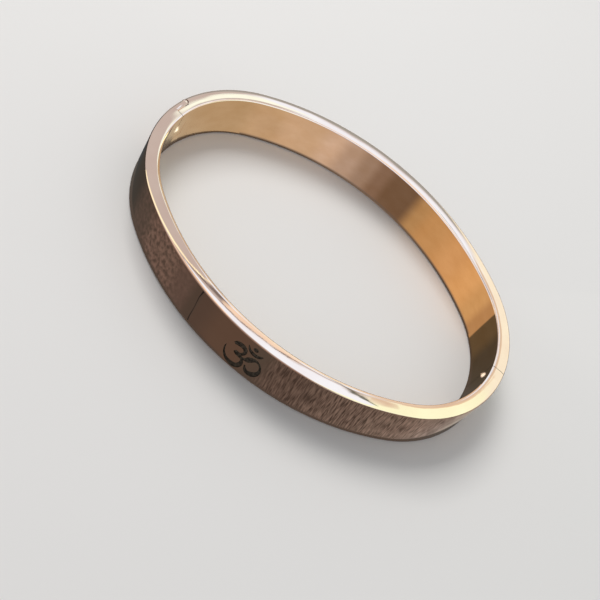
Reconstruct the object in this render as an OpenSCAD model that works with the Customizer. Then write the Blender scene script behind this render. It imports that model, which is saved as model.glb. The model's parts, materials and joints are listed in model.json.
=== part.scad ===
// Oval hinged bangle with a flat polished band, lying on its lower rim.
// +Z is the bangle's own axis. +X points to the clasp, -X to the hinge, and -Y to the half with the sign.
// The origin is the middle of the oval, on the surface that the bangle lies on. Millimetres and degrees.

/* [Oval] */
// Inside length, along the hinge and the clasp
inner_l = 58; // [54:0.5:70]
// Inside width, across the two halves
inner_w = 41.6; // [38:0.1:44]

/* [Band] */
// Thickness of the wall
wall = 2.2; // [2.2:0.05:2.6]
// Height of the band
band = 8; // [7.6:0.1:12]
// Radius of the four rounded rim edges
edge_r = 0.4; // [0.2:0.05:0.6]

/* [Hinge] */
// Distance of the lap's lower end from the long axis, at the middle of the wall
lap_y = 0.05; // [0.05:0.05:0.6]
// Distance of the pin from the long axis, at the middle of the wall
pin_y = 2.5; // [2.2:0.05:3.2]
// Depth of the pin's centre below the outer face
pin_depth = 0.45; // [0.42:0.01:0.48]
// Diameter of the pin
pin_d = 0.5; // [0.4:0.05:0.5]
// Length of the pin
pin_l = 6.8; // [5:0.1:7]
// Radius of the knuckles
knuckle_r = 0.46; // [0.43:0.01:0.48]
// Distance from the pin to the lips of the knuckles' sockets, along the outer face
lip_reach = 0.36; // [0.34:0.01:0.4]
// Height of the middle knuckle
knuckle_h = 2.8; // [2:0.1:3.6]
// Thickness of the outer tongues
lap_t = 1.06; // [0.95:0.01:1.1]
// Radius of the rim edge round a tongue's end
knuckle_edge = 0.2; // [0.1:0.05:0.25]
// Bevel on the end corner of the inner tongues
lap_bevel = 0.3; // [0.1:0.05:0.4]

/* [Clasp] */
// Distance of the seam from the long axis, which it runs parallel to
seam_y = 2.05; // [1:0.05:3]
// Thickness of the tongue
tongue_t = 0.7; // [0.5:0.05:0.8]
// Width of the tongue
tongue_w = 3.6; // [2:0.1:4.4]
// Reach of the tongue past the seam
tongue_reach = 4; // [3:0.1:4.4]
// Length of the tongue's root in the back half
tongue_root = 2; // [1.5:0.1:2.2]
// How far the tongue lies inside the middle of the wall
tongue_inset = 0.08; // [0:0.01:0.15]

/* [Sign] */
// Size of the etched sign, as a share of its full size
sign_scale = 1; // [0.7:0.05:1.05]
// Depth of the etching
sign_depth = 0.08; // [0.05:0.01:0.15]

/* [Gaps] */
// Gap between the two halves at the seam and at the lap's ends
seam_gap = 0.08; // [0.06:0.01:0.12]
// Clearance round a knuckle
run_gap = 0.05; // [0.04:0.01:0.08]
// Gap between the outer and inner tongues
lap_gap = 0.09; // [0.08:0.01:0.12]
// Gap between the hinge's layers
layer_gap = 0.06; // [0.04:0.01:0.1]
// Radial clearance of the pin in the knuckles that turn on it
pin_gap = 0.03; // [0.02:0.005:0.05]
// Radial clearance of the pin in the knuckle that holds it
hold_gap = 0.01; // [0.005:0.005:0.02]
// Clearance round the tongue in its pocket
pocket_gap = 0.1; // [0.08:0.01:0.12]
// Clearance round the tongue's root
root_gap = 0.02; // [0.01:0.01:0.04]

/* [Hidden] */
$fn = 180;

rose_gold = "#c9987f";
past = 1;

// Oval of four arcs: two end arcs and two flatter side arcs. Their centres and the middle of the oval make
// triangles of sides 3, 4 and 5, and the arcs meet on the longest sides of these, drawn on through the wall.
half_l = inner_l / 2 + wall;
half_w = inner_w / 2 + wall;
unit = (half_l - half_w) / 2;
end_x = 3 * unit;
side_y = 4 * unit;
end_r = half_l - end_x;
side_r = half_w + side_y;

// Point at a distance past an arc's centre, on the line where an end arc meets a side arc
function meet_point(centre, end, side, distance) = centre + distance * [end * 3 / 5, side * 4 / 5];
outside = 2 * half_l;

// Angle on an end arc at which the middle of the wall is at distance y from the long axis
function arc_a(y) = asin(y / (end_r - wall / 2));

// The hinge's places along the band, as angles from the long axis
lap_end = lap_y + seam_gap;
socket_r = knuckle_r + run_gap;
lug_y = pin_y - socket_r;
seat_y = pin_y + socket_r;
pin_a = arc_a(pin_y);
pin_c = [-end_x - (end_r - pin_depth) * cos(pin_a), (end_r - pin_depth) * sin(pin_a)];

// The hinge's layers, from the lower rim to the upper one
layer_lo = (band - knuckle_h) / 2;
layer_hi = (band + knuckle_h) / 2;
side_layers = [[-past, layer_lo], [layer_hi, band + past]];
middle_layer = [layer_lo, layer_hi];

// The clasp's tongue is bent about the hinge pin, so that it leaves its pocket cleanly
seam_c = [end_x + (end_r - wall / 2) * cos(arc_a(seam_y)), seam_y];
tongue_r = norm(seam_c - pin_c) - tongue_inset;
function tongue_a(y) = asin((y - pin_c[1]) / tongue_r);

// Cross-section of the band, from its inner face at x = 0 to its outer face at x = wall
module band_profile() {
    translate([0, edge_r]) square([wall, band - 2 * edge_r]);
    translate([edge_r, 0]) square([wall - 2 * edge_r, band]);
    for (x = [edge_r, wall - edge_r], z = [edge_r, band - edge_r]) translate([x, z]) circle(edge_r);
}

// The part of a whole ring that lies over a flat outline
module band_arc(centre, r_out, outline) {
    intersection() {
        translate(centre) rotate_extrude() translate([r_out - wall, 0]) band_profile();
        translate([0, 0, -past]) linear_extrude(band + 2 * past) polygon(outline);
    }
}

// A side arc: side is 1 for the back half's and -1 for the front half's
module side_arc(side) {
    centre = [0, -side * side_y];
    band_arc(centre, side_r,
        [centre, meet_point(centre, 1, side, outside), meet_point(centre, -1, side, outside)]);
}

// An end arc from its cut to the side arc: end is 1 at the clasp and -1 at the hinge
module end_arc(end, side, cut) {
    centre = [end * end_x, 0];
    corner = meet_point(centre, end, side, outside);
    band_arc(centre, end_r, concat([centre, corner, [end * outside, corner[1]]], cut));
}

// The cuts that end such an arc: square across the wall at angle a, or along the seam at height y
function square_cut(a) = [[-end_x, 0] + outside * [-cos(a), sin(a)]];
function seam_cut(y) = [[outside, y], [end_x + y, y]];

// A block that clears one layer of the hinge end, from distance y0 to y1 and between two depths below the
// outer face
module hinge_block(y0, y1, depth, layer) {
    lo = layer[0] - layer_gap / 2;
    hi = layer[1] + layer_gap / 2;
    translate([-end_x, 0])
        rotate_extrude(start = 180 - arc_a(y1), angle = arc_a(y1) - arc_a(y0))
            translate([end_r - depth[1], lo]) square([depth[1] - depth[0], hi - lo]);
}

// A bar that bevels the end corner of the inner tongues
module lap_bevel_bar() {
    translate([-end_x, 0, -past]) rotate(180 - arc_a(lap_end)) translate([end_r - lap_t - lap_gap, 0])
        rotate(45) translate([-lap_bevel / sqrt(2), -lap_bevel])
            cube([2 * lap_bevel, 2 * lap_bevel, band + 2 * past]);
}

// A round bar on the pin's line
module pin_bar(r, z0, z1) {
    translate([pin_c[0], pin_c[1], z0]) cylinder(r = r, h = z1 - z0);
}

// The room that a knuckle turns in, through one layer of the hinge
module socket(layer) {
    pin_bar(socket_r, layer[0] - layer_gap / 2, layer[1] + layer_gap / 2);
}

// The round end of an outer tongue, from z = 0 at the rim to z = h, with its rim edge rounded
module rim_knuckle(h) {
    rotate_extrude() {
        translate([0, knuckle_edge]) square([knuckle_r, h - knuckle_edge]);
        square([knuckle_r - knuckle_edge, h]);
        translate([knuckle_r - knuckle_edge, knuckle_edge]) circle(knuckle_edge);
    }
}

// The tongue's form, from y0 to y1, grown by a clearance
module tongue_form(y0, y1, grow = 0) {
    translate([pin_c[0], pin_c[1], band / 2])
        rotate_extrude(start = tongue_a(y0), angle = tongue_a(y1) - tongue_a(y0))
            translate([tongue_r - tongue_t / 2 - grow, -tongue_w / 2 - grow])
                square([tongue_t + 2 * grow, tongue_w + 2 * grow]);
}

// The sign's strokes, from the middle of the band: each row is [along the band, height, half width]
upper_bowl = [[-1.45, 1, 0.2], [-1.05, 1.4, 0.42], [-0.4, 1.6, 0.48], [0.2, 1.35, 0.38], [0.46, 0.75, 0.26],
    [0.3, 0.15, 0.24], [-0.1, -0.25, 0.26]];
middle_arm = [[-0.85, -0.25, 0.3], [-0.4, -0.42, 0.45], [0.2, -0.58, 0.36], [0.9, -0.6, 0.28]];
right_loop = [[0.85, -0.6, 0.22], [1.25, -0.25, 0.42], [1.6, 0.3, 0.46], [2.1, 0.74, 0.34], [2.65, 0.76, 0.2],
    [3.12, 0.4, 0.16], [3.4, -0.2, 0.17], [3.5, -0.9, 0.26], [3.28, -1.7, 0.4], [2.75, -2.3, 0.5],
    [2.15, -2.4, 0.4], [1.68, -2, 0.24], [1.4, -1.35, 0.08]];
lower_bowl = [[0.55, -0.75, 0.2], [0.78, -1.25, 0.26], [0.8, -1.9, 0.34], [0.55, -2.6, 0.42],
    [-0.05, -3.02, 0.5], [-0.7, -3, 0.42], [-1.3, -2.78, 0.3], [-1.8, -2.28, 0.2], [-2.12, -1.6, 0.14],
    [-2.27, -0.9, 0.1], [-2.28, -0.4, 0.03]];
crescent = [[0.24, 2.75, 0.05], [0.6, 2.15, 0.2], [1.1, 1.78, 0.3], [1.7, 1.68, 0.34], [2.3, 1.88, 0.28],
    [2.75, 2.4, 0.08]];
dot = [1.4, 2.75];
dot_r = 0.38;

// A smooth curve through the rows: the point at share t between row i and the next
function between(rows, i, t) =
    let (p0 = rows[max(i - 1, 0)], p1 = rows[i], p2 = rows[i + 1], p3 = rows[min(i + 2, len(rows) - 1)])
    p1 + t * (p2 - p0) / 2 + t * t * (p0 - 2.5 * p1 + 2 * p2 - p3 / 2)
        + t * t * t * (1.5 * p1 - p0 / 2 - 1.5 * p2 + p3 / 2);
function smooth(rows, steps) =
    [for (i = [0 : len(rows) - 2], s = [0 : steps - 1]) between(rows, i, s / steps), rows[len(rows) - 1]];

// Unit vector across the curve at point i
function across(path, i) =
    let (a = path[max(i - 1, 0)], b = path[min(i + 1, len(path) - 1)], v = [a[1] - b[1], b[0] - a[0]])
    v / norm(v);
function edge_at(path, i, side) = [path[i][0], path[i][1]] + side * path[i][2] * across(path, i);

module stroke(rows) {
    path = smooth(rows, 3);
    last = len(path) - 1;
    polygon([for (i = [0 : last]) edge_at(path, i, 1), for (i = [last : -1 : 0]) edge_at(path, i, -1)]);
}

module sign() {
    translate([0, band / 2]) scale(sign_scale) {
        for (rows = [upper_bowl, middle_arm, right_loop, lower_bowl, crescent]) stroke(rows);
        translate(dot) circle(dot_r);
    }
}

// The etching, which follows the outer face at an even depth
module sign_recess() {
    difference() {
        translate([0, past - half_w, 0]) rotate([90, 0, 0]) linear_extrude(2 * past) sign();
        translate([0, side_y, -past]) cylinder(r = side_r - sign_depth, h = band + 2 * past);
    }
}

module front_half() {
    color(rose_gold) difference() {
        union() {
            difference() {
                union() {
                    end_arc(1, -1, seam_cut(seam_y - seam_gap / 2));
                    side_arc(-1);
                    end_arc(-1, -1, square_cut(pin_a));
                }
                for (layer = side_layers)
                    hinge_block(lap_y, seat_y, [lap_t, wall + past], layer);
                hinge_block(lug_y, seat_y, [pin_depth, wall + past], middle_layer);
                hinge_block(pin_y - lip_reach, seat_y, [-past, pin_depth], middle_layer);
                socket(middle_layer);
            }
            translate(pin_c) rim_knuckle(layer_lo - layer_gap / 2);
            translate([pin_c[0], pin_c[1], band]) mirror([0, 0, 1]) rim_knuckle(layer_lo - layer_gap / 2);
        }
        pin_bar(pin_d / 2 + pin_gap, (band - pin_l) / 2 - pin_gap, (band + pin_l) / 2 + pin_gap);
        tongue_form(seam_y - tongue_reach - pocket_gap, seam_y + past, pocket_gap);
        sign_recess();
    }
}

module back_half() {
    color(rose_gold) difference() {
        union() {
            difference() {
                union() {
                    end_arc(1, 1, seam_cut(seam_y + seam_gap / 2));
                    side_arc(1);
                    end_arc(-1, 1, square_cut(arc_a(lap_end)));
                }
                for (layer = side_layers) {
                    hinge_block(lap_y - past, pin_y + seam_gap, [-past, lap_t + lap_gap], layer);
                    hinge_block(lap_y - past, pin_y + lip_reach, [-past, pin_depth], layer);
                    socket(layer);
                }
                hinge_block(lap_y - past, lug_y + seam_gap, [-past, wall + past], middle_layer);
                hinge_block(lap_y - past, pin_y, [-past, pin_depth], middle_layer);
                lap_bevel_bar();
            }
            pin_bar(knuckle_r, layer_lo + layer_gap / 2, layer_hi - layer_gap / 2);
        }
        pin_bar(pin_d / 2 + hold_gap, 0, band);
        tongue_form(seam_y - past, seam_y + tongue_root + root_gap, root_gap);
    }
}

module hinge_pin() {
    color("silver") pin_bar(pin_d / 2, (band - pin_l) / 2, (band + pin_l) / 2);
}

module clasp_tongue() {
    color("silver") tongue_form(seam_y - tongue_reach, seam_y + tongue_root);
}

front_half();
back_half();
hinge_pin();
clasp_tongue();
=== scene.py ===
"""Looks of an oval hinged bangle: two polished rose gold halves with a satin inner face and an etched sign.

Both halves are a strip of metal bent round the same oval of four arcs. Each is cut to the hinge's layers at
one end and to the clasp's seam at the other. Sizes are in millimetres until they reach a mesh, in metres.
"""

import json
import math

import bmesh
import bpy
from mathutils import Matrix, Vector


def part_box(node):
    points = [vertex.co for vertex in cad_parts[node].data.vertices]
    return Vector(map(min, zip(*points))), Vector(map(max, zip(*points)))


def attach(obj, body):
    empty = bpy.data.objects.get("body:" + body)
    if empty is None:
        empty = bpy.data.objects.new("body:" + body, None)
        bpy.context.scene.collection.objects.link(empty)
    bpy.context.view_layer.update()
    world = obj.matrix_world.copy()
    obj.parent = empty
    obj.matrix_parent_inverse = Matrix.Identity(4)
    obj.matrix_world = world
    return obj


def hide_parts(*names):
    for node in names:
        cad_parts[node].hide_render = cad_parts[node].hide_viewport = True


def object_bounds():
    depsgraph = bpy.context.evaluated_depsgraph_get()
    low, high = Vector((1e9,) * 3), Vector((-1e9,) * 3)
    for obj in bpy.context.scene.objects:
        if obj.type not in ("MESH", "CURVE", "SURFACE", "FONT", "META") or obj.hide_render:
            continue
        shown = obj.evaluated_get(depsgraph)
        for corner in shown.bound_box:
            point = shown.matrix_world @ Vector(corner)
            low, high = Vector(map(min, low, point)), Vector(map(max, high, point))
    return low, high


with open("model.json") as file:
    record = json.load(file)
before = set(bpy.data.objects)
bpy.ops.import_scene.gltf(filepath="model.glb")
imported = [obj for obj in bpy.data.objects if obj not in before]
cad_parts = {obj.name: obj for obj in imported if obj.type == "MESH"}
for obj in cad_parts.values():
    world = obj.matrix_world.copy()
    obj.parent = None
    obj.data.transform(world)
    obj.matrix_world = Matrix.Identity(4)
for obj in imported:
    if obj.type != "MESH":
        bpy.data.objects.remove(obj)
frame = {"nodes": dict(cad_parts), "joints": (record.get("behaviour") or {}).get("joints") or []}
cad_low, cad_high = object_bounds()

MM = 0.001


def in_mm(vector):
    return Vector(vector) / MM


# The oval, from the frame's box: four arcs whose centres and middle make triangles of sides 3, 4 and 5
half_l, half_w, band = in_mm(cad_high)
unit = (half_l - half_w) / 2
end_x = 3 * unit
side_y = 4 * unit
end_r = half_w - unit
side_r = half_w + side_y
meet_angle = math.atan2(4, 3)
meet_sine = 4 / 5
side_turn = math.pi / 2 - meet_angle
end_length = end_r * meet_angle
half_length = end_length + side_r * side_turn

# The band
wall = 2.2
rim_edge = 0.42
rim_squareness = 3.2
past = 1.0

# How finely the strips are made, and how near a point has to be to count as on a face
strip_steps = 460
edge_steps = 16
corner_angle = math.radians(32)
strip_likeness = math.cos(math.radians(14))
face_margin = 0.03
level_margin = 0.001
merge_reach = 0.0005

# The hinge, about the pin that the frame gives
pin_at = in_mm(frame["joints"][0]["pos_m"])
pin_low, pin_high = (in_mm(corner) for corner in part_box("hinge_pin"))
pin_r = (pin_high.x - pin_low.x) / 2
knuckle_r = 0.46
lip_reach = 0.36
knuckle_h = 2.8
knuckle_edge = 0.2
lap_y = 0.05
lap_t = 1.06
lap_bevel = 0.3
lap_gap = 0.09
seam_gap = 0.08
run_gap = 0.05
layer_gap = 0.06
pin_gap = 0.03
hold_gap = 0.01
hinge_centre = Vector((-end_x, 0))
pin_reach = (pin_at.xy - hinge_centre).length
pin_depth = end_r - pin_reach
pin_a = math.asin(pin_at.y / pin_reach)
pin_y = pin_at.y * (end_r - wall / 2) / pin_reach
lap_end = lap_y + seam_gap
socket_r = knuckle_r + run_gap
lug_y = pin_y - socket_r
seat_y = pin_y + socket_r
layer_lo = (band - knuckle_h) / 2
layer_hi = (band + knuckle_h) / 2
side_layers = ((-past, layer_lo), (layer_hi, band + past))
middle_layer = (layer_lo, layer_hi)

# The clasp, whose tongue is bent about the pin
seam_y = 2.05
tongue_reach = 4.0
tongue_root = 2.0
tongue_t = 0.7
tongue_w = 3.6
tongue_inset = 0.08
pocket_gap = 0.1
root_gap = 0.02

# The sign's recess, as deep as in the frame, and the part of the near half that it lies in
sign_depth = 0.08
sign_clear = 0.2
sign_margin = 0.02
sign_half_l = 5.0
sign_low, sign_high = 0.3, band - 0.6
etched_from, etched_to = 0.01, 0.12


def end_angle(y):
    """Angle from the long axis at which the middle of an end arc's wall is at distance y from it."""
    return math.asin(y / (end_r - wall / 2))


def on_end_arc(x, y):
    """Whether a point lies by an end arc and not by a side arc."""
    return 3 * abs(y) < 4 * (abs(x) - end_x)


def arc_middle(at):
    """The centre of the arc that a point lies by."""
    if on_end_arc(at.x, at.y):
        return Vector((math.copysign(end_x, at.x), 0))
    return Vector((0, -math.copysign(side_y, at.y)))


def depth_at(x, y):
    """How far a point lies below the band's outer face."""
    if on_end_arc(x, y):
        return end_r - math.hypot(abs(x) - end_x, y)
    return side_r - math.hypot(x, abs(y) + side_y)


# Node trees

def put(tree, kind, inputs=None, **settings):
    """A node with its settings and inputs: an input is a value or the socket that feeds it."""
    node = tree.nodes.new(kind)
    for name, value in settings.items():
        setattr(node, name, value)
    for name, value in (inputs or {}).items():
        if isinstance(value, bpy.types.NodeSocket):
            tree.links.new(value, node.inputs[name])
        else:
            node.inputs[name].default_value = value
    return node


class Sums:
    """Arithmetic on the sockets of one node tree."""

    def __init__(self, tree):
        self.tree = tree

    def __call__(self, operation, *values, clamp=False):
        node = put(self.tree, "ShaderNodeMath", dict(enumerate(values)), operation=operation)
        node.use_clamp = clamp
        return node.outputs[0]

    def power_of(self, value, power):
        """A value's size to a power, with its sign kept."""
        grown = self("POWER", self("ABSOLUTE", value), power)
        return self("MULTIPLY", self("SIGN", value), grown)


def new_tree(name, kind, inputs, outputs):
    """A node group with named inputs and outputs, each a name, a socket kind and a value if it has one."""
    tree = bpy.data.node_groups.new(name, kind)
    for in_out, sockets in (("INPUT", inputs), ("OUTPUT", outputs)):
        for label, socket, *value in sockets:
            made = tree.interface.new_socket(label, in_out=in_out, socket_type="NodeSocket" + socket)
            if value:
                made.default_value = value[0]
    return tree, put(tree, "NodeGroupInput").outputs, put(tree, "NodeGroupOutput").inputs


def bent_strip_tree():
    """A rounded strip from angle Start to angle End, bent round the oval of four arcs."""
    tree, given, out = new_tree("bent_strip", "GeometryNodeTree", [
        ("Start", "Float"), ("End", "Float"), ("Steps", "Int"), ("Edge Steps", "Int"),
        ("End Radius", "Float"), ("Side Radius", "Float"), ("End Centre", "Float"), ("Side Centre", "Float"),
        ("Wall", "Float"), ("Band", "Float"), ("Edge", "Float"), ("Squareness", "Float"),
        ("Finish", "Material"),
    ], [("Strip", "Geometry")])
    sums = Sums(tree)

    # The rounded cross-section: a circle drawn out to the wall's thickness and the band's height
    circle = put(tree, "GeometryNodeCurvePrimitiveCircle",
                 {"Resolution": sums("MULTIPLY", given["Edge Steps"], 4), "Radius": 1.0})
    round_at = put(tree, "ShaderNodeSeparateXYZ", {0: put(tree, "GeometryNodeInputPosition").outputs[0]})
    power = sums("DIVIDE", 2.0, given["Squareness"])
    half_wall = sums("MULTIPLY", given["Wall"], 0.5)
    core = sums("SUBTRACT", sums("MULTIPLY", given["Band"], 0.5), given["Edge"])
    through = sums("MULTIPLY", half_wall, sums.power_of(round_at.outputs["X"], power))
    rounding = sums("MULTIPLY", given["Edge"], sums.power_of(round_at.outputs["Y"], power))
    upright = sums("ADD", sums("MULTIPLY", core, sums("SIGN", round_at.outputs["Y"])), rounding)
    section = put(tree, "GeometryNodeSetPosition", {
        "Geometry": circle.outputs[0],
        "Position": put(tree, "ShaderNodeCombineXYZ", {"X": through, "Y": upright}).outputs[0],
    })

    # The straight strip, one metre long
    line = put(tree, "GeometryNodeCurvePrimitiveLine", {"End": (1, 0, 0)})
    rings = put(tree, "GeometryNodeResampleCurve", {"Curve": line.outputs[0], "Count": given["Steps"]})
    strip = put(tree, "GeometryNodeCurveToMesh",
                {"Curve": rings.outputs[0], "Profile Curve": section.outputs[0], "Fill Caps": True})

    # The bend: the angle of the outer face's normal grows evenly along the strip
    straight = put(tree, "ShaderNodeSeparateXYZ", {0: put(tree, "GeometryNodeInputPosition").outputs[0]})
    turn = sums("SUBTRACT", given["End"], given["Start"])
    angle = sums("ADD", given["Start"], sums("MULTIPLY", straight.outputs["X"], turn))
    cosine, sine = sums("COSINE", angle), sums("SINE", angle)
    on_end = sums("LESS_THAN", sums("ABSOLUTE", sine), meet_sine)
    on_side = sums("SUBTRACT", 1.0, on_end)
    centre_x = sums("MULTIPLY", sums("MULTIPLY", sums("SIGN", cosine), given["End Centre"]), on_end)
    centre_y = sums("MULTIPLY", sums("MULTIPLY", sums("SIGN", sine), given["Side Centre"]), on_side)
    face_r = sums("ADD", sums("MULTIPLY", given["End Radius"], on_end),
                  sums("MULTIPLY", given["Side Radius"], on_side))
    radius = sums("ADD", sums("SUBTRACT", face_r, half_wall), straight.outputs["Y"])
    bent = put(tree, "ShaderNodeCombineXYZ", {
        "X": sums("ADD", centre_x, sums("MULTIPLY", radius, cosine)),
        "Y": sums("SUBTRACT", sums("MULTIPLY", radius, sine), centre_y),
        "Z": sums("ADD", straight.outputs["Z"], sums("MULTIPLY", given["Band"], 0.5)),
    })
    oval = put(tree, "GeometryNodeSetPosition", {"Geometry": strip.outputs[0], "Position": bent.outputs[0]})
    real = put(tree, "GeometryNodeRealizeInstances", {"Geometry": oval.outputs[0]})
    finished = put(tree, "GeometryNodeSetMaterial",
                   {"Geometry": real.outputs[0], "Material": given["Finish"]})
    tree.links.new(finished.outputs[0], out["Strip"])
    return tree


# Meshes

def show(name, mesh):
    piece = bpy.data.objects.new(name, mesh)
    bpy.context.scene.collection.objects.link(piece)
    return piece


def mesh_of(name, shape):
    """A mesh from a bmesh whose faces are turned outwards."""
    bmesh.ops.recalc_face_normals(shape, faces=shape.faces)
    mesh = bpy.data.meshes.new(name)
    shape.to_mesh(mesh)
    shape.free()
    return mesh


def bake(piece):
    """Turns a piece's modifiers into a plain mesh."""
    depsgraph = bpy.context.evaluated_depsgraph_get()
    mesh = bpy.data.meshes.new_from_object(piece.evaluated_get(depsgraph))
    piece.modifiers.clear()
    piece.data = mesh
    return piece


def from_tree(name, tree, values):
    """A plain mesh object made by a geometry tree with these inputs."""
    piece = show(name, bpy.data.meshes.new(name))
    modifier = piece.modifiers.new(tree.name, "NODES")
    modifier.node_group = tree
    for item in tree.interface.items_tree:
        if item.item_type == "SOCKET" and item.in_out == "INPUT":
            modifier[item.identifier] = values[item.name]
    return bake(piece)


def arc_block(centre, radii, angles, heights, steps=24):
    """A closed block between two radii, angles and heights about an upright axis."""
    inner, outer = radii
    low, high = heights
    section = ((inner, low), (outer, low), (outer, high), (inner, high))
    shape = bmesh.new()
    rings = []
    for step in range(steps + 1):
        angle = angles[0] + (angles[1] - angles[0]) * step / steps
        out = Vector((math.cos(angle), math.sin(angle)))
        flat = [(centre.xy + r * out, z) for r, z in section]
        rings.append([shape.verts.new(Vector((p.x, p.y, z)) * MM) for p, z in flat])
    for here, there in zip(rings, rings[1:]):
        for i in range(4):
            shape.faces.new((here[i], here[(i + 1) % 4], there[(i + 1) % 4], there[i]))
    shape.faces.new(rings[0])
    shape.faces.new(rings[-1])
    return show("block", mesh_of("block", shape))


def hinge_block(y0, y1, depths, layer):
    """A block over part of the hinge end, between two places along the band, two depths and two heights."""
    radii = (end_r - depths[1], end_r - depths[0])
    angles = (math.pi - end_angle(y1), math.pi - end_angle(y0))
    return arc_block(hinge_centre, radii, angles, (layer[0] - layer_gap / 2, layer[1] + layer_gap / 2))


def tongue_block(y0, y1, grow):
    """The clasp tongue's form between two distances from the long axis, grown by a clearance."""
    seam = Vector((end_x + (end_r - wall / 2) * math.cos(end_angle(seam_y)), seam_y))
    bend_r = (seam - pin_at.xy).length - tongue_inset
    angles = [math.asin((y - pin_at.y) / bend_r) for y in (y0, y1)]
    radii = (bend_r - tongue_t / 2 - grow, bend_r + tongue_t / 2 + grow)
    heights = ((band - tongue_w) / 2 - grow, (band + tongue_w) / 2 + grow)
    return arc_block(pin_at, radii, angles, heights)


def seam_block(y0, y1):
    """A block over the clasp end of the wall, between two distances from the long axis."""
    shape = bmesh.new()
    place = Matrix.Translation(Vector((half_l - wall / 2, (y0 + y1) / 2, band / 2)))
    size = Matrix.Diagonal((3 * wall, y1 - y0, band + 2 * past, 1))
    bmesh.ops.create_cube(shape, size=1, matrix=Matrix.Scale(MM, 4) @ place @ size)
    return show("block", mesh_of("block", shape))


def pin_bar(r, z0, z1, rim_round=None):
    """A round bar on the pin's line. Its edge at height rim_round is rounded, where one is given."""
    shape = bmesh.new()
    place = Matrix.Translation(Vector((pin_at.x, pin_at.y, (z0 + z1) / 2)) * MM)
    bmesh.ops.create_cone(shape, cap_ends=True, segments=72, radius1=r * MM, radius2=r * MM,
                          depth=(z1 - z0) * MM, matrix=place)
    if rim_round is not None:
        rim = [e for e in shape.edges if all(abs(v.co.z / MM - rim_round) < level_margin for v in e.verts)]
        bmesh.ops.bevel(shape, geom=rim, offset=knuckle_edge * MM, segments=6, profile=0.5, affect="EDGES")
    return show("bar", mesh_of("bar", shape))


def socket(layer):
    """The room that a knuckle turns in, through one layer of the hinge."""
    return pin_bar(socket_r, layer[0] - layer_gap / 2, layer[1] + layer_gap / 2)


def lap_bevel_bar():
    """A bar that bevels the end corner of the inner tongues."""
    shape = bmesh.new()
    bmesh.ops.create_cube(shape, size=1)
    side = 2 * lap_bevel
    to_edge = Matrix.Translation(Vector((side / 2 - lap_bevel / math.sqrt(2), side / 2 - lap_bevel, 0)))
    place = (Matrix.Translation(Vector((-end_x, 0, band / 2)))
             @ Matrix.Rotation(math.pi - end_angle(lap_end), 4, "Z")
             @ Matrix.Translation(Vector((end_r - lap_t - lap_gap, 0, 0)))
             @ Matrix.Rotation(math.pi / 4, 4, "Z") @ to_edge
             @ Matrix.Diagonal((side, side, band + 2 * past, 1)))
    shape.transform(Matrix.Scale(MM, 4) @ place)
    return show("bar", mesh_of("bar", shape))


def sign_block():
    """The etched sign as a closed block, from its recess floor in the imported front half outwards."""
    shape = bmesh.new()
    shape.from_mesh(frame["nodes"]["front_half"].data)
    bmesh.ops.remove_doubles(shape, verts=shape.verts, dist=merge_reach * MM)
    floor = [f for f in shape.faces if all(is_sign_floor(v.co / MM) for v in f.verts)]
    keep = set(floor)
    bmesh.ops.delete(shape, geom=[f for f in shape.faces if f not in keep], context="FACES")
    raised = bmesh.ops.extrude_face_region(shape, geom=shape.faces[:])
    for v in (v for v in raised["geom"] if isinstance(v, bmesh.types.BMVert)):
        out = Vector((v.co.x, v.co.y - side_y * MM, 0)).normalized()
        v.co += out * (sign_depth + sign_clear) * MM
    return show("sign", mesh_of("sign", shape))


def is_sign_floor(at):
    return at.y < 0 and abs(at.x) < sign_half_l and abs(depth_at(at.x, at.y) - sign_depth) < sign_margin


def work(piece, steps):
    """Cuts and joins a piece with blocks, one after another, and clears the blocks away."""
    for operation, block in steps:
        modifier = piece.modifiers.new(block.name, "BOOLEAN")
        modifier.operation = operation
        modifier.solver = "EXACT"
        modifier.object = block
    bake(piece)
    for _, block in steps:
        bpy.data.objects.remove(block)
    return piece


def face_finishes(piece, finishes):
    """Gives the inner face the satin finish, the sign's recess the etched one and the rest the polish."""
    piece.data.materials.clear()
    for finish in finishes:
        piece.data.materials.append(finish)
    for face in piece.data.polygons:
        at = face.center / MM
        depth = depth_at(at.x, at.y)
        inside = abs(depth - wall) < face_margin and abs(face.normal.z) < 0.5
        by_sign = at.y < 0 and abs(at.x) < sign_half_l and sign_low < at.z < sign_high
        etched = by_sign and etched_from < depth < etched_to
        face.material_index = 1 if inside else 2 if etched and len(finishes) > 2 else 0


def band_normal(at, depth):
    """The outward normal of the rounded band at a place on its surface."""
    through = 1 - 2 * depth / wall
    height = at.z - band / 2
    rounding = max(abs(height) - (band / 2 - rim_edge), 0) / rim_edge
    outwards = math.copysign(abs(through) ** (rim_squareness - 1), through) * 2 / wall
    upwards = math.copysign(rounding ** (rim_squareness - 1), height) / rim_edge
    out = (at.xy - arc_middle(at)).normalized() * outwards
    return Vector((out.x, out.y, upwards)).normalized()


def smooth(piece):
    """Smooth faces with sharp corners. Faces of the bent strip itself are shaded by its true normals."""
    mesh = piece.data
    mesh.polygons.foreach_set("use_smooth", [True] * len(mesh.polygons))
    mesh.set_sharp_from_angle(angle=corner_angle)
    normals = [Vector()] * len(mesh.loops)
    for face in mesh.polygons:
        corners = [mesh.vertices[i].co / MM for i in face.vertices]
        true = [band_normal(at, depth_at(at.x, at.y)) for at in corners]
        if all(normal.dot(face.normal) > strip_likeness for normal in true):
            for loop, normal in zip(face.loop_indices, true):
                normals[loop] = normal
    mesh.normals_split_custom_set(normals)
    return piece


def oval_strip(name, tree, start, end, finish):
    return from_tree(name, tree, {
        "Start": start, "End": end, "Steps": strip_steps, "Edge Steps": edge_steps,
        "End Radius": end_r * MM, "Side Radius": side_r * MM,
        "End Centre": end_x * MM, "Side Centre": side_y * MM,
        "Wall": wall * MM, "Band": band * MM, "Edge": rim_edge * MM, "Squareness": rim_squareness,
        "Finish": finish,
    })


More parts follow.
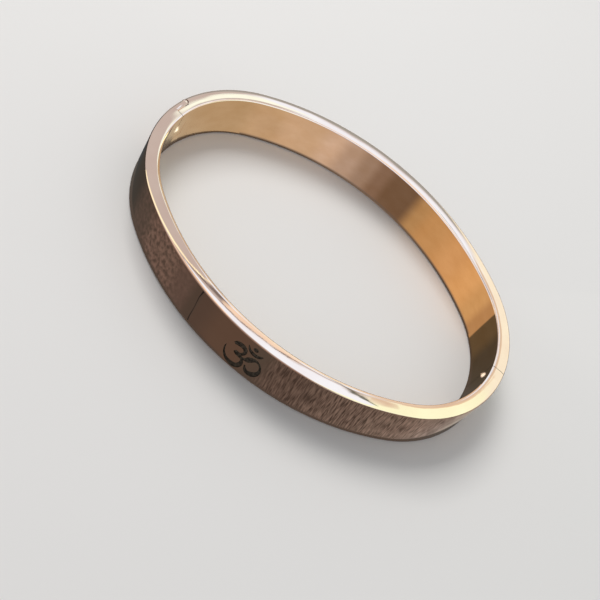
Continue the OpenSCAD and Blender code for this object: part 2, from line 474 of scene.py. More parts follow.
def front_half(tree, finishes):
    half = oval_strip("polished_front_half", tree, end_angle(seam_y + past), -math.pi - pin_a, finishes[0])
    tongue_h = layer_lo - layer_gap / 2
    clear = [hinge_block(lap_y, seat_y, (lap_t, wall + past), layer) for layer in side_layers]
    clear += [
        hinge_block(lug_y, seat_y, (pin_depth, wall + past), middle_layer),
        hinge_block(pin_y - lip_reach, seat_y, (-past, pin_depth), middle_layer),
        socket(middle_layer),
        seam_block(seam_y - seam_gap / 2, seam_y + 2 * past),
    ]
    rounds = [
        pin_bar(knuckle_r, 0, tongue_h, rim_round=0),
        pin_bar(knuckle_r, band - tongue_h, band, rim_round=band),
    ]
    hollows = [
        pin_bar(pin_r + pin_gap, pin_low.z - pin_gap, pin_high.z + pin_gap),
        tongue_block(seam_y - tongue_reach - pocket_gap, seam_y + past, pocket_gap),
        sign_block(),
    ]
    work(half, cuts(clear) + joins(rounds) + cuts(hollows))
    face_finishes(half, finishes)
    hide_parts("front_half")
    return smooth(half)


def back_half(tree, finishes):
    hinge_end = math.pi - end_angle(lap_end)
    half = oval_strip("polished_back_half", tree, end_angle(seam_y - past), hinge_end, finishes[0])
    clear = []
    for layer in side_layers:
        clear += [
            hinge_block(lap_y - past, pin_y + seam_gap, (-past, lap_t + lap_gap), layer),
            hinge_block(lap_y - past, pin_y + lip_reach, (-past, pin_depth), layer),
            socket(layer),
        ]
    clear += [
        hinge_block(lap_y - past, lug_y + seam_gap, (-past, wall + past), middle_layer),
        hinge_block(lap_y - past, pin_y, (-past, pin_depth), middle_layer),
        lap_bevel_bar(),
        seam_block(seam_y - 2 * past, seam_y + seam_gap / 2),
    ]
    knuckle = pin_bar(knuckle_r, layer_lo + layer_gap / 2, layer_hi - layer_gap / 2)
    hollows = [
        pin_bar(pin_r + hold_gap, 0, band),
        tongue_block(seam_y - past, seam_y + tongue_root + root_gap, root_gap),
    ]
    work(half, cuts(clear) + joins([knuckle]) + cuts(hollows))
    face_finishes(half, finishes)
    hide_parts("back_half")
    return smooth(half)


def cuts(blocks):
    return [("DIFFERENCE", block) for block in blocks]


def joins(blocks):
    return [("UNION", block) for block in blocks]


# Finishes, each with its darker and its lighter tone

ROSE_GOLD = ((0.80, 0.56, 0.45), (0.84, 0.61, 0.49))
SATIN_GOLD = ((0.77, 0.49, 0.30), (0.84, 0.56, 0.37))
ETCHED = ((0.028, 0.024, 0.018), (0.15, 0.12, 0.09))
STEEL = ((0.52, 0.50, 0.47), (0.64, 0.62, 0.59))
HALVES_APART = 1000.0


def band_place_group():
    """Where a point lies on the band, in millimetres: along it from a half's middle and above its foot.

    Strip holds both and the depth below the outer face. The near half is moved aside, so its lines differ.
    """
    tree, given, out = new_tree("band_place", "ShaderNodeTree", [("Place", "Vector")], [
        ("Along", "Float"), ("Height", "Float"), ("Strip", "Vector"),
    ])
    sums = Sums(tree)
    at = put(tree, "ShaderNodeSeparateXYZ", {0: given["Place"]}).outputs
    x, y, z = (sums("MULTIPLY", at[axis], 1 / MM) for axis in "XYZ")
    out_x, out_y = sums("ABSOLUTE", x), sums("ABSOLUTE", y)
    past_centre = sums("SUBTRACT", out_x, end_x)
    on_end = sums("LESS_THAN", sums("MULTIPLY", out_y, 3.0), sums("MULTIPLY", past_centre, 4.0))
    far_y = sums("ADD", out_y, side_y)

    def on_arc(x_part, y_part):
        reach = sums("SQRT", sums("ADD", sums("MULTIPLY", x_part, x_part), sums("MULTIPLY", y_part, y_part)))
        return reach, sums("ARCTAN2", y_part, x_part)

    def either(on_true, on_false):
        share = sums("SUBTRACT", on_true, on_false)
        return sums("ADD", on_false, sums("MULTIPLY", share, on_end))

    end_reach, end_bend = on_arc(past_centre, out_y)
    side_reach, side_bend = on_arc(out_x, far_y)
    depth = either(sums("SUBTRACT", end_r, end_reach), sums("SUBTRACT", side_r, side_reach))
    side_part = sums("MULTIPLY", sums("SUBTRACT", side_bend, meet_angle), side_r)
    from_end = either(sums("MULTIPLY", end_bend, end_r), sums("ADD", side_part, end_length))
    from_middle = sums("MULTIPLY", sums("SUBTRACT", half_length, from_end), sums("SIGN", x))
    apart = sums("SUBTRACT", from_middle, sums("MULTIPLY", sums("LESS_THAN", y, 0.0), HALVES_APART))
    strip = put(tree, "ShaderNodeCombineXYZ", {"X": apart, "Y": depth, "Z": z})
    for name, value in (("Along", from_middle), ("Height", z), ("Strip", strip.outputs[0])):
        tree.links.new(value, out[name])
    return tree


def streaks_group():
    """Fine lines on the band: noise drawn out by Stretch, as a height and a mask."""
    tree, given, out = new_tree("streaks", "ShaderNodeTree", [
        ("Strip", "Vector"), ("Stretch", "Vector"), ("Detail", "Float"), ("Low", "Float"), ("High", "Float"),
    ], [("Height", "Float"), ("Mask", "Float")])
    drawn = put(tree, "ShaderNodeVectorMath", {0: given["Strip"], 1: given["Stretch"]}, operation="MULTIPLY")
    noise = put(tree, "ShaderNodeTexNoise",
                {"Vector": drawn.outputs[0], "Scale": 1.0, "Detail": given["Detail"]})
    mask = put(tree, "ShaderNodeMapRange",
               {"Value": noise.outputs[0], "From Min": given["Low"], "From Max": given["High"]})
    tree.links.new(noise.outputs[0], out["Height"])
    tree.links.new(mask.outputs[0], out["Mask"])
    return tree


def new_finish(name, **sockets):
    """A material and its node tree, with even values set on the shader's own sockets."""
    material = bpy.data.materials.new(name)
    material.use_nodes = True
    tree = material.node_tree
    shader = tree.nodes["Principled BSDF"]
    for label, value in sockets.items():
        shader.inputs[label.replace("_", " ")].default_value = value
    return material, tree, shader


def object_place(tree):
    return put(tree, "ShaderNodeTexCoord").outputs["Object"]


def on_band(tree, band_place):
    node = put(tree, "ShaderNodeGroup", node_tree=band_place)
    tree.links.new(object_place(tree), node.inputs["Place"])
    return node.outputs


def streaks(tree, group, strip, stretch, detail=2.0, low=0.4, high=0.6):
    node = put(tree, "ShaderNodeGroup", node_tree=group)
    tree.links.new(strip, node.inputs["Strip"])
    for name, value in (("Stretch", stretch), ("Detail", detail), ("Low", low), ("High", high)):
        node.inputs[name].default_value = value
    return node.outputs


def between(tree, share, low, high):
    """A number that goes from low to high with the share."""
    return put(tree, "ShaderNodeMapRange", {"Value": share, "To Min": low, "To Max": high}).outputs[0]


def tinted(tree, share, first, second):
    node = put(tree, "ShaderNodeMix", data_type="RGBA")
    tree.links.new(share, node.inputs["Factor"])
    node.inputs[6].default_value = (*first, 1)
    node.inputs[7].default_value = (*second, 1)
    return node.outputs[2]


def bump(tree, shader, height, distance, after=None):
    node = put(tree, "ShaderNodeBump", {"Height": height, "Distance": distance, "Strength": 1.0})
    if after is not None:
        tree.links.new(after, node.inputs["Normal"])
    tree.links.new(node.outputs[0], shader.inputs["Normal"])
    return node.outputs[0]


def polished_rose_gold(band_place, lines):
    material, tree, shader = new_finish("polished_rose_gold", Metallic=1.0)
    at = on_band(tree, band_place)
    drift = streaks(tree, lines, at["Strip"], (0.22, 0.3, 0.3), 3.0, 0.3, 0.7)
    tree.links.new(tinted(tree, drift["Mask"], *ROSE_GOLD), shader.inputs["Base Color"])
    smudge = streaks(tree, lines, at["Strip"], (0.5, 0.8, 0.6), 5.0, 0.5, 0.8)
    tree.links.new(between(tree, smudge["Mask"], 0.03, 0.08), shader.inputs["Roughness"])
    wave = streaks(tree, lines, at["Strip"], (0.16, 0.4, 0.12), 1.0)
    waved = bump(tree, shader, wave["Height"], 0.03 * MM)
    hair = streaks(tree, lines, at["Strip"], (1.2, 9.0, 9.0), 3.0)
    bump(tree, shader, hair["Height"], 0.0015 * MM, after=waved)
    return material


def satin_rose_gold(band_place, lines):
    material, tree, shader = new_finish("satin_rose_gold", Metallic=1.0)
    at = on_band(tree, band_place)
    drift = streaks(tree, lines, at["Strip"], (0.3, 0.3, 0.5), 5.0, 0.3, 0.7)
    tree.links.new(tinted(tree, drift["Mask"], *SATIN_GOLD), shader.inputs["Base Color"])
    brushed = streaks(tree, lines, at["Strip"], (0.4, 1.0, 9.0), 4.0, 0.35, 0.65)
    tree.links.new(between(tree, brushed["Mask"], 0.10, 0.18), shader.inputs["Roughness"])
    bump(tree, shader, brushed["Height"], 0.0015 * MM)
    return material


def etched_sign(band_place, lines):
    material, tree, shader = new_finish("etched_sign", Metallic=0.6)
    at = on_band(tree, band_place)
    grain = streaks(tree, lines, at["Strip"], (4.0, 4.0, 4.0), 5.0, 0.36, 0.68)
    tree.links.new(tinted(tree, grain["Mask"], *ETCHED), shader.inputs["Base Color"])
    tree.links.new(between(tree, grain["Mask"], 0.5, 0.75), shader.inputs["Roughness"])
    bump(tree, shader, grain["Height"], 0.03 * MM)
    return material


def satin_steel(band_place, lines):
    material, tree, shader = new_finish("satin_steel", Metallic=1.0)
    at = on_band(tree, band_place)
    brushed = streaks(tree, lines, at["Strip"], (1.0, 6.0, 12.0), 4.0, 0.35, 0.65)
    tree.links.new(tinted(tree, brushed["Mask"], *STEEL), shader.inputs["Base Color"])
    tree.links.new(between(tree, brushed["Mask"], 0.22, 0.34), shader.inputs["Roughness"])
    bump(tree, shader, brushed["Height"], 0.006 * MM)
    return material


# Camera, stage and light

camera_at = (3.57, -104.03, 114.33)
camera_azimuth = -1.36
camera_elevation = 49.26
camera_roll = -39.29
camera_fov = 32.68
camera_clip = (0.005, 10)


def set_camera():
    data = bpy.data.cameras.new("camera")
    data.angle = math.radians(camera_fov)
    data.clip_start, data.clip_end = camera_clip
    camera = bpy.data.objects.new("camera", data)
    bpy.context.scene.collection.objects.link(camera)
    turn = (Matrix.Rotation(math.radians(-camera_azimuth), 4, "Z")
            @ Matrix.Rotation(math.radians(90 - camera_elevation), 4, "X")
            @ Matrix.Rotation(math.radians(-camera_roll), 4, "Z"))
    camera.matrix_world = Matrix.Translation(Vector(camera_at) * MM) @ turn
    bpy.context.scene.camera = camera


def stage_plane(name, size, height):
    shape = bmesh.new()
    bmesh.ops.create_grid(shape, x_segments=1, y_segments=1, size=size * MM / 2,
                          matrix=Matrix.Translation((0, 0, height * MM)))
    plane = show(name, mesh_of(name, shape))
    return plane


def light(name, at, aim, size, power, colour):
    data = bpy.data.lights.new(name, "AREA")
    data.shape = "RECTANGLE"
    data.size, data.size_y = size[0] * MM, size[1] * MM
    data.energy = power
    data.color = colour
    lamp = bpy.data.objects.new(name, data)
    bpy.context.scene.collection.objects.link(lamp)
    lamp.location = Vector(at) * MM
    lamp.rotation_euler = (Vector(aim) - Vector(at)).to_track_quat("-Z", "Y").to_euler()
    lamp.visible_glossy = False


def ray_off(at, normal):
    """The direction in which a line from the camera leaves the band after it is mirrored."""
    sight = (at - Vector(camera_at)).normalized()
    return sight - 2 * sight.dot(normal) * normal


def mirrored(at, normal, sheet_z):
    """The place on a level sheet that the camera sees mirrored at a place on the band."""
    off = ray_off(at, normal)
    return (at + off * (sheet_z - at.z) / off.z).xy


def angle_at(half, along):
    """The angle of the band's normal at a distance along a half from its middle."""
    beyond = max(abs(along) - side_r * side_turn, 0) / end_r
    turn = math.copysign(min(abs(along) / side_r, side_turn) + beyond, along)
    return half * (math.pi / 2 - turn)


def on_oval(angle, depth, height):
    out = Vector((math.cos(angle), math.sin(angle), 0))
    if abs(out.y) < meet_sine:
        centre, radius = Vector((math.copysign(end_x, out.x), 0, height)), end_r
    else:
        centre, radius = Vector((0, -math.copysign(side_y, out.y), height)), side_r
    return centre + (radius - depth) * out


def rim_height(depth):
    through = abs(1 - 2 * depth / wall)
    return band - rim_edge + rim_edge * (1 - through ** rim_squareness) ** (1 / rim_squareness)


def seen_in_rim(half, along, depth):
    """The place on the light sheet that shows in the rim, at a depth from its outer side."""
    depth = min(max(depth, face_margin), wall - face_margin)
    at = on_oval(angle_at(half, along), depth, rim_height(depth))
    return mirrored(at, band_normal(at, depth), LIGHT_SHEET_Z)


def along_at(half, at):
    """How far along a half a point lies from the half's middle, also past its ends: angle_at turned round."""
    out = at.xy - arc_middle(at)
    turn = math.pi / 2 - abs(math.atan2(out.y, out.x))
    beyond = max(abs(turn) - side_turn, 0) * end_r
    along = math.copysign(min(abs(turn), side_turn) * side_r + beyond, turn)
    return along if at.y * half > 0 else math.copysign(2 * half_length, along) - along


def seen_in_wall(half, along, height):
    """Where the near half's outer face or the far half's inner face shows its card: along it and up it."""
    angle = angle_at(half, along)
    face = wall if half == FAR else 0
    at = on_oval(angle, face, height)
    off = ray_off(at, Vector((math.cos(angle), math.sin(angle), 0)))
    for _ in range(RAY_STEPS):
        if abs(depth_at(at.x, at.y) - face) >= CARD_OFF:
            break
        at += off * CARD_OFF / RAY_PARTS
    return Vector((along_at(half, at), at.z))


def side_of(start, end, inner, soft):
    """A soft side of a mark, as a plane over its card: 0 outside, 1 inside and a half on the line itself."""
    across = Vector((start.y - end.y, end.x - start.x)).normalized()
    if across.dot(inner - start) < 0:
        across = -across
    slope = across / (2 * soft)
    return (slope.x, slope.y, 0.5 - slope.dot(start))


def mark(corners, softs, *tones):
    """A mark with four corners. Its sides run from each corner to the next, each with its own softness."""
    inner = sum(corners, Vector((0, 0))) / 4
    sides = [side_of(corners[i], corners[(i + 1) % 4], inner, softs[i]) for i in range(4)]
    return sides, tones


def field(corners, soft, *tones):
    return [mark([Vector(corner) for corner in corners], (soft,) * 4, *tones)]


def rim_reflection_mark(half, soft, tone, *points):
    """A painted reflection along the rim: a mark on the light sheet where the rim mirrors it, through points:
    distance along it, depth from its outer side and half width.
    """
    marks = []
    for (along_a, depth_a, reach_a), (along_b, depth_b, reach_b) in zip(points, points[1:]):
        corners = [
            seen_in_rim(half, along_a, depth_a - reach_a),
            seen_in_rim(half, along_b, depth_b - reach_b),
            seen_in_rim(half, along_b, depth_b + reach_b),
            seen_in_rim(half, along_a, depth_a + reach_a),
        ]
        reach = ((corners[0] - corners[3]).length + (corners[1] - corners[2]).length) / 4
        side = max(soft * reach, LEAST_SOFT)
        marks.append(mark(corners, (side, HARD, side, HARD), tone))
    return marks


def wall_reflection_mark(half, soft, tone, *points):
    """A painted reflection on a wall: a mark on the card beside it, through points: distance along it, height
    and half width.
    """
    marks = []
    for (along_a, height_a, reach_a), (along_b, height_b, reach_b) in zip(points, points[1:]):
        corners = [
            seen_in_wall(half, along_a - reach_a, height_a),
            seen_in_wall(half, along_b - reach_b, height_b),
            seen_in_wall(half, along_b + reach_b, height_b),
            seen_in_wall(half, along_a + reach_a, height_a),
        ]
        marks.append(mark(corners, (soft, HARD, soft, HARD), tone))
    return marks


def painted_foot_shade(half, starts, top, tone):
    """Painted contact shade: a thin dark line that a wall mirrors along its foot, from the first start on."""
    marks = []
    for start in starts:
        end = start + starts.step
        places = ((start, top), (end, top), (end, FOOT_LOW), (start, FOOT_LOW))
        corners = [seen_in_wall(half, along, height) for along, height in places]
        marks.append(mark(corners, (FOOT_SOFT, HARD, FOOT_SOFT, HARD), tone))
    return marks


def tone_after(start, fade, *tones):
    """A painted reflection tone on an upright card from one place on, all the way to the clasp."""
    return [([(1 / fade, 0, 0.5 - start / fade), ALWAYS, ALWAYS, ALWAYS], tones)]


def tone_from(half, along, fade, *tones):
    """A painted reflection tone that a wall shows from one place on, all the way to the clasp."""
    return tone_after(seen_in_wall(half, along, band / 2).x, fade, *tones)


def mark_group():
    """A mark of colour on a card, inside its four soft sides."""
    tree, given, out = new_tree("mark", "ShaderNodeTree", [
        ("Place", "Vector"), *((label, "Vector") for label in SIDES), ("Under", "Color"), ("Colour", "Color"),
    ], [("Colour", "Color")])
    sums = Sums(tree)
    cover = None
    for label in SIDES:
        reach = put(tree, "ShaderNodeVectorMath",
                    {0: given["Place"], 1: given[label]}, operation="DOT_PRODUCT")
        soft = put(tree, "ShaderNodeMapRange",
                   {"Value": reach.outputs["Value"]}, interpolation_type="SMOOTHSTEP")
        cover = sums("MULTIPLY", cover, soft.outputs[0]) if cover else soft.outputs[0]
    mix = put(tree, "ShaderNodeMix", {"Factor": cover}, data_type="RGBA")
    tree.links.new(given["Under"], mix.inputs[6])
    tree.links.new(given["Colour"], mix.inputs[7])
    tree.links.new(mix.outputs[2], out["Colour"])
    return tree


def seen_card(name, card, ground, marks, groups):
    """Paints a card that only the metal sees: a ground colour with soft marks of others laid over it. It
    glows, so its marks are painted reflections of light and shade.
    """
    card.visible_camera = card.visible_diffuse = card.visible_shadow = False
    card.visible_transmission = card.visible_volume_scatter = False
    material = bpy.data.materials.new(name)
    material.use_nodes = True
    tree = material.node_tree
    tree.nodes.clear()
    place, patterns = groups["place"](tree)
    seen = None
    for sides, tones in marks:
        node = put(tree, "ShaderNodeGroup", node_tree=groups["mark"])
        tree.links.new(place, node.inputs["Place"])
        for label, side in zip(SIDES, sides):
            node.inputs[label].default_value = side
        if seen:
            tree.links.new(seen, node.inputs["Under"])
        else:
            node.inputs["Under"].default_value = (*ground, 1)
        node.inputs["Colour"].default_value = (*tones[0], 1)
        if len(tones) > 1:
            tree.links.new(tinted(tree, patterns[tones[2]], *tones[:2]), node.inputs["Colour"])
        seen = node.outputs["Colour"]
    # The card glows with its colours: painted light and shade that the metal mirrors
    glow = put(tree, "ShaderNodeEmission", {"Color": seen, "Strength": 1.0})
    put(tree, "ShaderNodeOutputMaterial", {"Surface": glow.outputs[0]})
    card.data.materials.append(material)


def sheet_place(tree):
    """A place on a level sheet, in millimetres, with 1 as its third part for the sides of marks."""
    place = put(tree, "ShaderNodeVectorMath", {0: object_place(tree)}, operation="MULTIPLY_ADD")
    place.inputs[1].default_value = (1 / MM, 1 / MM, 0)
    place.inputs[2].default_value = (0, 0, 1)
    return place.outputs[0], {}


def card_place(half, band_place, lines):
    """The same for an upright card: how far along and up it a point lies, and patterns of fine tones for its
    painted reflections.
    """
    def place_in(tree):
        at = on_band(tree, band_place)
        sums = Sums(tree)
        object_y = put(tree, "ShaderNodeSeparateXYZ", {0: object_place(tree)}).outputs["Y"]
        past_end = sums("LESS_THAN", sums("MULTIPLY", object_y, float(half)), 0.0)
        to_end = sums("SUBTRACT", sums("MULTIPLY", sums("SIGN", at["Along"]), half_length), at["Along"])
        along = sums("ADD", at["Along"], sums("MULTIPLY", sums("MULTIPLY", to_end, 2.0), past_end))
        place = put(tree, "ShaderNodeCombineXYZ", {"X": along, "Y": at["Height"], "Z": 1.0}).outputs[0]
        sway = streaks(tree, lines, place, (0.9, 0.5, 0), 1.0, 0.2, 0.8)["Mask"]
        lean = sums("MULTIPLY", at["Height"], STREAK_LEAN)
        swayed = sums("ADD", sums("ADD", along, lean), sums("MULTIPLY", sway, STREAK_SWAY))
        fibres = put(tree, "ShaderNodeCombineXYZ", {"X": swayed, "Y": at["Height"], "Z": 1.0}).outputs[0]
        return place, {
            "streaks": streaks(tree, lines, fibres, (4.6, 0.42, 1), 2.0, 0.34, 0.68)["Mask"],
            "grain": streaks(tree, lines, place, (1.7, 1.1, 1), 6.0, 0.36, 0.66)["Mask"],
            "clouds": streaks(tree, lines, place, (0.14, 0.22, 1), 4.0, 0.3, 0.7)["Mask"],
        }
    return place_in


def upright_card(name, half, depth, low, rise, steps=160):
    """An upright card along a half, at a depth below its outer face. It rises most at the half's ends. The
    metal beside it mirrors its painted tones.
    """
    shape = bmesh.new()
    columns = []
    for i in range(steps + 1):
        angle = angle_at(half, CARD_REACH * (2 * i / steps - 1))
        top = band + rise / max(abs(math.sin(angle)), LEAST_SINE)
        columns.append([shape.verts.new(on_oval(angle, depth, z) * MM) for z in (low, top)])
    for here, there in zip(columns, columns[1:]):
        shape.faces.new((here[0], there[0], there[1], here[1]))
    card = show(name, mesh_of(name, shape))
    return card


def floor_and_world():
    """A pale floor that runs on into a surround of its own tone, under soft even light and one soft lamp. The
    metal sees a painted dark surround instead of the floor.
    """
    floor = stage_plane("floor", FLOOR_SIZE, FLOOR_Z)
    # The metal doesn't mirror the pale floor: it sees the world's painted dark surround in its place
    floor.visible_glossy = False
    floor_finish = new_finish("floor", Base_Color=(0.78, 0.77, 0.76, 1), Roughness=0.9)
    floor.data.materials.append(floor_finish[0])
    world = bpy.data.worlds.new("studio")
    bpy.context.scene.world = world
    world.use_nodes = True
    tree = world.node_tree
    tree.nodes.clear()
    to_eye = put(tree, "ShaderNodeBackground", {"Color": (0.70, 0.70, 0.70, 1), "Strength": 1.0})
    to_floor = put(tree, "ShaderNodeBackground", {"Color": (0.95, 0.97, 1.0, 1), "Strength": 0.5})
    # Painted dark reflection: what glossy rays see, a dark grey surround
    to_metal = put(tree, "ShaderNodeBackground", {"Color": (0.26, 0.25, 0.26, 1), "Strength": 1.0})
    ray = put(tree, "ShaderNodeLightPath").outputs
    lit = put(tree, "ShaderNodeMixShader",
              {0: ray["Is Glossy Ray"], 1: to_floor.outputs[0], 2: to_metal.outputs[0]})
    seen = put(tree, "ShaderNodeMixShader",
               {0: ray["Is Camera Ray"], 1: lit.outputs[0], 2: to_eye.outputs[0]})
    put(tree, "ShaderNodeOutputWorld", {"Surface": seen.outputs[0]})
    light("key", at=(-260, 160, 420), aim=(0, 0, 0), size=(260, 260), power=1.7, colour=(1, 0.97, 0.93))
    bpy.context.scene.view_settings.view_transform = "Standard"


# What the metal sees, painted on glowing cards as reflections of light and shade: where the cards stand, and
# how soft their marks are

NEAR, FAR = -1, 1
FLOOR_SIZE = 4000
FLOOR_Z = -0.02
SHEET_SIZE = 800
LIGHT_SHEET_Z = 60
GROUND_SHEET_Z = -0.015
SHEET_END = SHEET_SIZE / 2
CARD_OFF = 0.3
CARD_REACH = 45
CARD_DROP = 4
EDGE_CARD_OFF = 2
EDGE_CARD_H = 1.7
LEAST_SINE = 0.45
RAY_PARTS = 20
RAY_STEPS = 400
HARD = 0.02
LEAST_SOFT = 0.2
FOOT_LOW = -3
FOOT_SOFT = 0.3
SIDES = ("Side 1", "Side 2", "Side 3", "Side 4")
ALWAYS = (0, 0, 1)
STREAK_LEAN = 0.1
STREAK_SWAY = 0.15

# The cards' tones. They stand for light, so they may pass 1

WHITE = (1.12, 1.50, 1.90)
CREAM = (1.18, 1.38, 1.27)
PALE_YELLOW = (1.22, 1.58, 1.28)
BRIGHT_CREAM = (1.22, 1.62, 1.62)
PEACH = (1.15, 1.13, 1.00)
PINKISH_GREY = (0.68, 0.73, 0.78)
PINKISH_CREAM = (0.90, 0.87, 0.74)
BRIGHT_YELLOW = (1.45, 1.62, 1.25)
ORANGE = (1.25, 1.02, 0.66)
TAN = (1.00, 0.90, 0.68)
DARK_GREEN = (0.13, 0.18, 0.15)
DARK_GREY = (0.24, 0.24, 0.25)
DUSK = (0.30, 0.24, 0.20)
BLUISH_GREY = (0.44, 0.55, 0.58)
GROUND = (0.10, 0.09, 0.08)
GROUND_BEHIND = (0.50, 0.46, 0.42)
OUTER_GROUND = (0.42, 0.38, 0.35)
INNER_GROUND = (0.56, 0.52, 0.40)
EDGE_GROUND = (0.70, 0.66, 0.55)


def light_marks():
    """The light sheet, over the rim: fields of light first, then the light and dark lines that the two
    halves' rims show as painted reflections.
    """
    end = SHEET_END
    return [
        *field(((-end, 88), (end, 88), (end, end), (-end, end)), 6, BLUISH_GREY),
        *field(((22, -60), (end, -60), (end, end), (22, end)), 5, CREAM),
        *field(((26, -60), (end, -60), (end, 47), (26, 47)), 5, PALE_YELLOW),
        *field(((-40, 52), (30, 60), (20, 84), (-40, 82)), 6, WHITE),
        *field(((-21, 56), (-13, 31), (20, 37), (20, 64)), 3, WHITE),
        *field(((-end, 0), (-45, -32), (44, -30), (60, -end)), 6, DUSK),
        *field(((-47, 50), (-24, 48), (-20, 66), (-42, 72)), 2.5, BRIGHT_CREAM),
        *field(((18, 44.5), (36, 44), (36, 52), (22, 74)), 1.5, PINKISH_CREAM),
        *rim_reflection_mark(NEAR, 0.3, PEACH, (-6.5, 1.2, 0.3), (-3, 1.3, 0.38), (1, 1.38, 0.38), (5, 1.5, 0.25),
               (7, 1.6, 0.12)),
        *rim_reflection_mark(NEAR, 0.15, WHITE, (-14, 0.4, 0.03), (-10, 0.48, 0.12), (-6.5, 0.52, 0.22), (-1.3, 0.55, 0.29),
               (2, 0.62, 0.36), (6, 0.75, 0.5), (10, 0.8, 0.6), (13.5, 0.85, 0.62), (15.5, 0.75, 0.5),
               (17.5, 0.5, 0.3), (19, 0.4, 0.1)),
        *rim_reflection_mark(NEAR, 0.4, DARK_GREY, (-6.6, 0.82, 0.02), (-3, 0.88, 0.04), (0, 1.0, 0.06), (3, 1.15, 0.09),
               (5.5, 1.4, 0.07), (7, 1.5, 0.02)),
        *rim_reflection_mark(NEAR, 0.3, BRIGHT_YELLOW, (-29, 0.12, 0.04), (-25, 0.18, 0.07), (-21, 0.25, 0.09),
               (-17, 0.42, 0.11), (-14.5, 0.65, 0.1), (-12.5, 0.9, 0.1), (-10.5, 1.25, 0.1),
               (-9.2, 1.6, 0.08)),
        *rim_reflection_mark(NEAR, 0.3, ORANGE, (-18, 0.2, 0.02), (-13, 0.28, 0.04), (-9, 0.28, 0.05), (-4, 0.25, 0.03)),
        *rim_reflection_mark(NEAR, 0.4, DARK_GREY, (-13.5, 0.62, 0.03), (-11, 0.85, 0.1), (-9.5, 1.05, 0.19),
               (-8, 1.25, 0.28), (-6.8, 1.4, 0.2), (-5.5, 1.58, 0.05)),
        *rim_reflection_mark(NEAR, 0.7, PINKISH_CREAM, (18.5, 1.3, 0.25), (20.5, 1.15, 0.42), (22.8, 1.1, 0.25)),
        *rim_reflection_mark(NEAR, 0.3, DARK_GREEN, (10.5, 1.8, 0.02), (13, 1.72, 0.04), (14.6, 1.58, 0.06),
               (15.4, 1.42, 0.15), (16.4, 1.18, 0.2), (17.5, 0.93, 0.18), (18.3, 0.73, 0.1),
               (19.5, 0.45, 0.03)),
        *rim_reflection_mark(FAR, 0.3, WHITE, (-42.4, 0.75, 0.06), (-41.2, 0.7, 0.1)),
        *rim_reflection_mark(NEAR, 0.6, TAN, (23.5, 1.62, 0.03), (28, 1.6, 0.05), (36, 1.5, 0.05), (43, 1.36, 0.05)),
    ]


def outer_reflection_marks():
    """The painted reflection that the near half's outer face shows, from hinge to clasp: slate, grained and
    streaked brown.
    """
    return [
        *tone_after(-41, 4, (0.055, 0.060, 0.065)),
        *tone_from(NEAR, -34, 6, (0.060, 0.060, 0.055)),
        *tone_from(NEAR, -27, 4, (0.085, 0.078, 0.068), (0.125, 0.105, 0.095), "grain"),
        *tone_from(NEAR, -22, 3, (0.095, 0.080, 0.070), (0.22, 0.175, 0.155), "grain"),
        *tone_from(NEAR, -14, 4, (0.115, 0.093, 0.083), (0.14, 0.113, 0.102), "grain"),
        *tone_from(NEAR, -10.5, 2, (0.090, 0.078, 0.068)),
        *tone_from(NEAR, -8.6, 0.5, (0.100, 0.080, 0.068)),
        *tone_from(NEAR, -6, 4, (0.125, 0.095, 0.075)),
        *tone_from(NEAR, 1, 3, (0.100, 0.090, 0.078)),
        *tone_from(NEAR, 4, 2, (0.062, 0.052, 0.046), (0.18, 0.155, 0.14), "streaks"),
        *tone_from(NEAR, 12, 6, (0.068, 0.058, 0.051), (0.25, 0.22, 0.20), "streaks"),
        *tone_from(NEAR, 20, 5, (0.090, 0.078, 0.068), (0.31, 0.275, 0.25), "streaks"),
        *tone_from(NEAR, 26, 4, (0.125, 0.110, 0.098), (0.40, 0.36, 0.33), "streaks"),
        *tone_from(NEAR, 33, 4, (0.28, 0.25, 0.22), (0.50, 0.46, 0.40), "streaks"),
        *tone_from(NEAR, 38, 4, (0.50, 0.50, 0.42)),
        # Painted contact shade along the outer face's foot
        *painted_foot_shade(NEAR, range(-26, 40, 6), 0.35, (0.025, 0.03, 0.035)),
        # A painted dark line running down the outer face
        *wall_reflection_mark(NEAR, 0.06, (0.02, 0.02, 0.02), (-8.9, 8.3, 0.14), (-9.05, 6.2, 0.06), (-8.85, 3.6, 0.04),
              (-8.8, 1.5, 0.07), (-8.6, -0.3, 0.1)),
    ]


def edge_reflection_marks():
    """The painted reflection that the near half's rim shows along its inner edge, from the hinge to the
    clasp: a painted highlight by the hinge, then tan, pale and cream tones.
    """
    return [
        *tone_after(-41, 0.6, (2.2, 2.6, 1.5)),
        *tone_after(-39.6, 0.6, (0.62, 0.54, 0.36)),
        *tone_after(-30, 8, (0.72, 0.70, 0.55)),
        *tone_after(-7, 5, (1.15, 1.22, 1.08)),
        *tone_after(17, 5, (0.98, 0.98, 0.86)),
        *tone_after(30, 10, (0.88, 0.84, 0.72)),
    ]


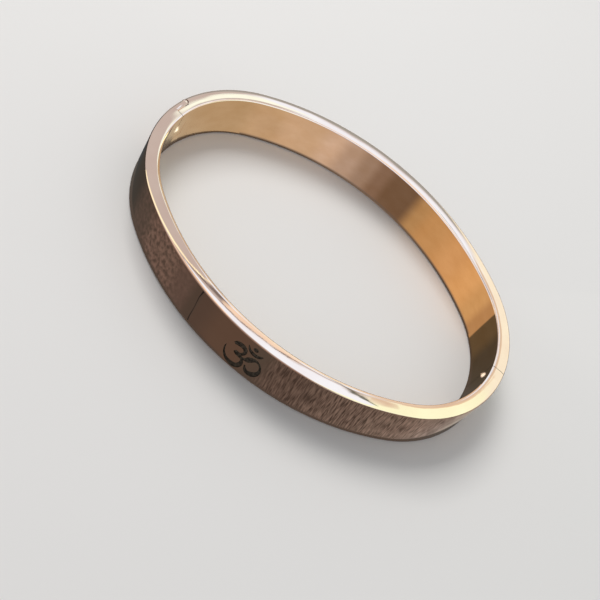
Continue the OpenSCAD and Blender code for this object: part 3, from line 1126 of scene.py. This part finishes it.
def inner_reflection_marks():
    """The painted reflection that the far half's inner face shows, from hinge to clasp: gold, pink, brown,
    orange and dark, with two painted glints.
    """
    return [
        *tone_from(FAR, -27, 4, (0.60, 0.55, 0.45), (0.67, 0.62, 0.50), "clouds"),
        *tone_from(FAR, -21, 3, (0.66, 0.61, 0.53), (0.74, 0.69, 0.61), "clouds"),
        *tone_from(FAR, -13.5, 3, (0.69, 0.66, 0.65), (0.79, 0.76, 0.76), "clouds"),
        *tone_from(FAR, -10, 3, (0.55, 0.53, 0.55)),
        *tone_from(FAR, -6.3, 2.5, (0.40, 0.37, 0.37)),
        *tone_from(FAR, -3.2, 2, (0.28, 0.235, 0.215)),
        *tone_from(FAR, -0.5, 2, (0.205, 0.165, 0.135)),
        *tone_from(FAR, 5.7, 2.6, (0.54, 0.42, 0.245)),
        *tone_from(FAR, 8.5, 3, (0.64, 0.47, 0.26)),
        *tone_from(FAR, 14, 5, (0.77, 0.56, 0.32)),
        *tone_from(FAR, 19, 4, (0.85, 0.62, 0.34)),
        *tone_from(FAR, 23.5, 3, (0.74, 0.56, 0.31)),
        *tone_from(FAR, 27, 2, (0.57, 0.41, 0.235)),
        *tone_from(FAR, 29.7, 0.3, (0.14, 0.12, 0.08)),
        *tone_from(FAR, 34, 3, (0.085, 0.08, 0.065)),
        # Painted shade along the inner face's foot
        *painted_foot_shade(FAR, range(-27, 29, 4), 0.5, (0.15, 0.16, 0.19)),
        # A painted dark patch by the hinge
        *wall_reflection_mark(FAR, 0.2, (0.26, 0.26, 0.20), (-45.3, 5.6, 0.6), (-44, 3.6, 0.7), (-42.8, 1.5, 0.4)),
        # A painted glint over it
        *wall_reflection_mark(FAR, 0.35, (2.0, 2.3, 2.1), (-44.6, 6.9, 0.4), (-43.4, 5.3, 0.6), (-42.4, 4.2, 0.3)),
        # A painted glint by the clasp
        *wall_reflection_mark(FAR, 0.2, (1.5, 1.5, 1.45), (40.6, 4.9, 0.2), (41.7, 6.1, 0.6), (42.7, 7.3, 0.3)),
    ]


def ground_reflection_marks():
    """The ground sheet under the bangle: a painted dark reflection in front of it and paler behind it."""
    end = SHEET_END
    return field(((-end, 22), (end, 22), (end, end), (-end, end)), 6, GROUND_BEHIND)


def studio(band_place, lines):
    """The floor, the light and the five cards: a sheet over the bangle, one under it and three beside it. The
    cards glow with painted light and shade that only the metal mirrors.
    """
    floor_and_world()
    flat = {"mark": mark_group(), "place": sheet_place}
    for name, height, ground, marks in (
            ("light", LIGHT_SHEET_Z, PINKISH_GREY, light_marks()),
            ("ground", GROUND_SHEET_Z, GROUND, ground_reflection_marks())):
        seen_card(name, stage_plane(f"{name}_sheet", SHEET_SIZE, height), ground, marks, flat)
    for name, half, depth, low, rise, ground, marks in (
            ("outer", NEAR, -CARD_OFF, -CARD_DROP, 0, OUTER_GROUND, outer_reflection_marks()),
            ("inner", FAR, wall + CARD_OFF, -CARD_DROP, 0, INNER_GROUND, inner_reflection_marks()),
            ("edge", NEAR, wall + EDGE_CARD_OFF, band, EDGE_CARD_H, EDGE_GROUND, edge_reflection_marks())):
        upright = {"mark": flat["mark"], "place": card_place(half, band_place, lines)}
        seen_card(name, upright_card(f"{name}_card", half, depth, low, rise), ground, marks, upright)


def build(band_place, lines):
    """The two dressed halves, and the steel on the two hidden pieces."""
    polish = polished_rose_gold(band_place, lines)
    satin = satin_rose_gold(band_place, lines)
    etched = etched_sign(band_place, lines)
    steel = satin_steel(band_place, lines)
    strip = bent_strip_tree()
    for half, body in ((front_half(strip, (polish, satin, etched)), "front"),
                       (back_half(strip, (polish, satin)), "back")):
        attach(half, body)
    for node in ("hinge_pin", "clasp_tongue"):
        frame["nodes"][node].data.materials.clear()
        frame["nodes"][node].data.materials.append(steel)


fine_lines = streaks_group()
place_on_band = band_place_group()
build(place_on_band, fine_lines)
studio(place_on_band, fine_lines)
set_camera()
